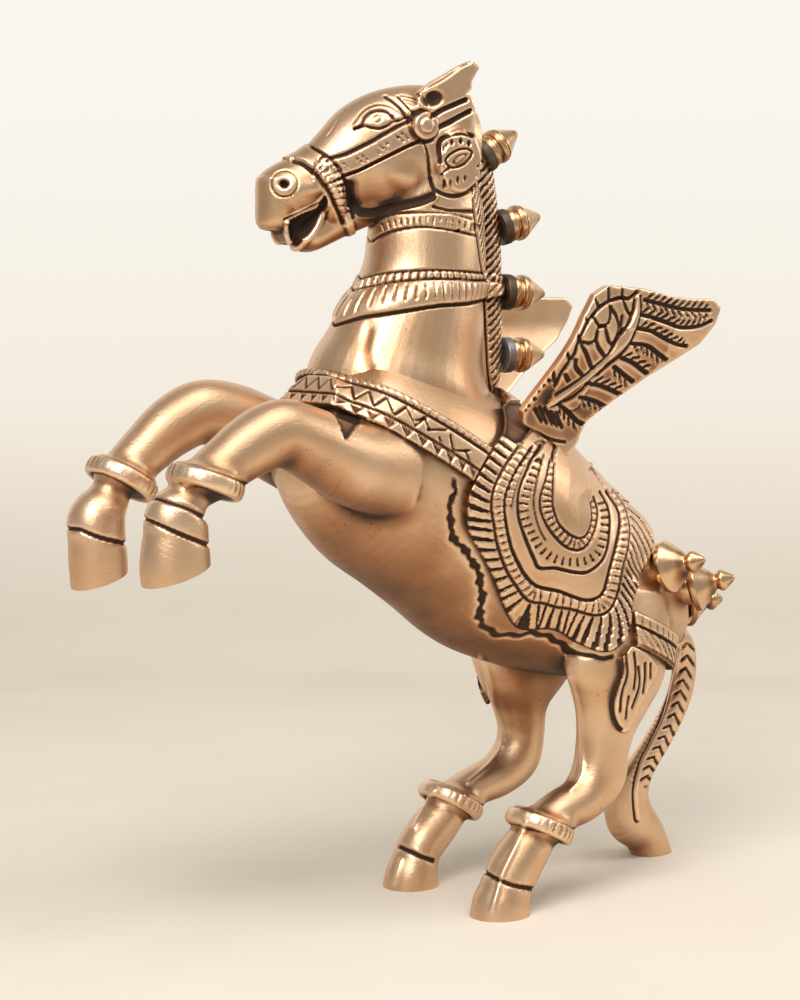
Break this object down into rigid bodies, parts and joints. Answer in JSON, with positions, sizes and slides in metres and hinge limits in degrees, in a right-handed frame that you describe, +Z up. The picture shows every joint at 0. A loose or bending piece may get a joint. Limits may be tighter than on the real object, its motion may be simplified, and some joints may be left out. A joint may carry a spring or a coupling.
{
  "type": "rearing winged horse figurine",
  "caption": "Rearing winged horse ornament in antique brass, hollow cast body, engraved bridle, collar, cloth and wings, turned finials, standing on hind hooves and tail.",
  "frame": {"origin": "middle of the underside of the whole figure, on the surface it stands on", "axes": "+Z up, -X the way the horse faces, -Y the horse's left side"},
  "size_m": [0.2724, 0.0912, 0.299],
  "materials": {
    "cast_brass": "antique, brushed, dark in the hollows",
    "limb_brass": "antique, brushed along the limb",
    "chased_brass": "engraved, dark patina in the cuts",
    "turned_brass": "lathe turned, satin",
    "washer_metal": "dull grey"
  },
  "bodies": {
    "root": {"head_and_neck": "cast_brass", "front_body": "cast_brass", "rear_body": "cast_brass", "left_foreleg": "limb_brass", "left_hind_leg": "limb_brass", "right_foreleg": "limb_brass", "right_hind_leg": "limb_brass", "tail": "limb_brass", "saddle_cloth": "chased_brass", "breast_collar": "chased_brass", "crupper_strap": "chased_brass", "left_hip_leaf": "chased_brass", "right_hip_leaf": "chased_brass", "left_wing": "chased_brass", "right_wing": "chased_brass", "mane_finial_1": "turned_brass", "mane_finial_2": "turned_brass", "mane_finial_3": "turned_brass", "mane_finial_4": "turned_brass", "rump_finial_1": "turned_brass", "rump_finial_2": "turned_brass", "rump_finial_3": "turned_brass", "rump_finial_4": "turned_brass", "rump_finial_5": "turned_brass", "mane_washer_1": "washer_metal", "mane_washer_2": "washer_metal", "mane_washer_3": "washer_metal", "mane_washer_4": "washer_metal"}
  },
  "joints": []
}
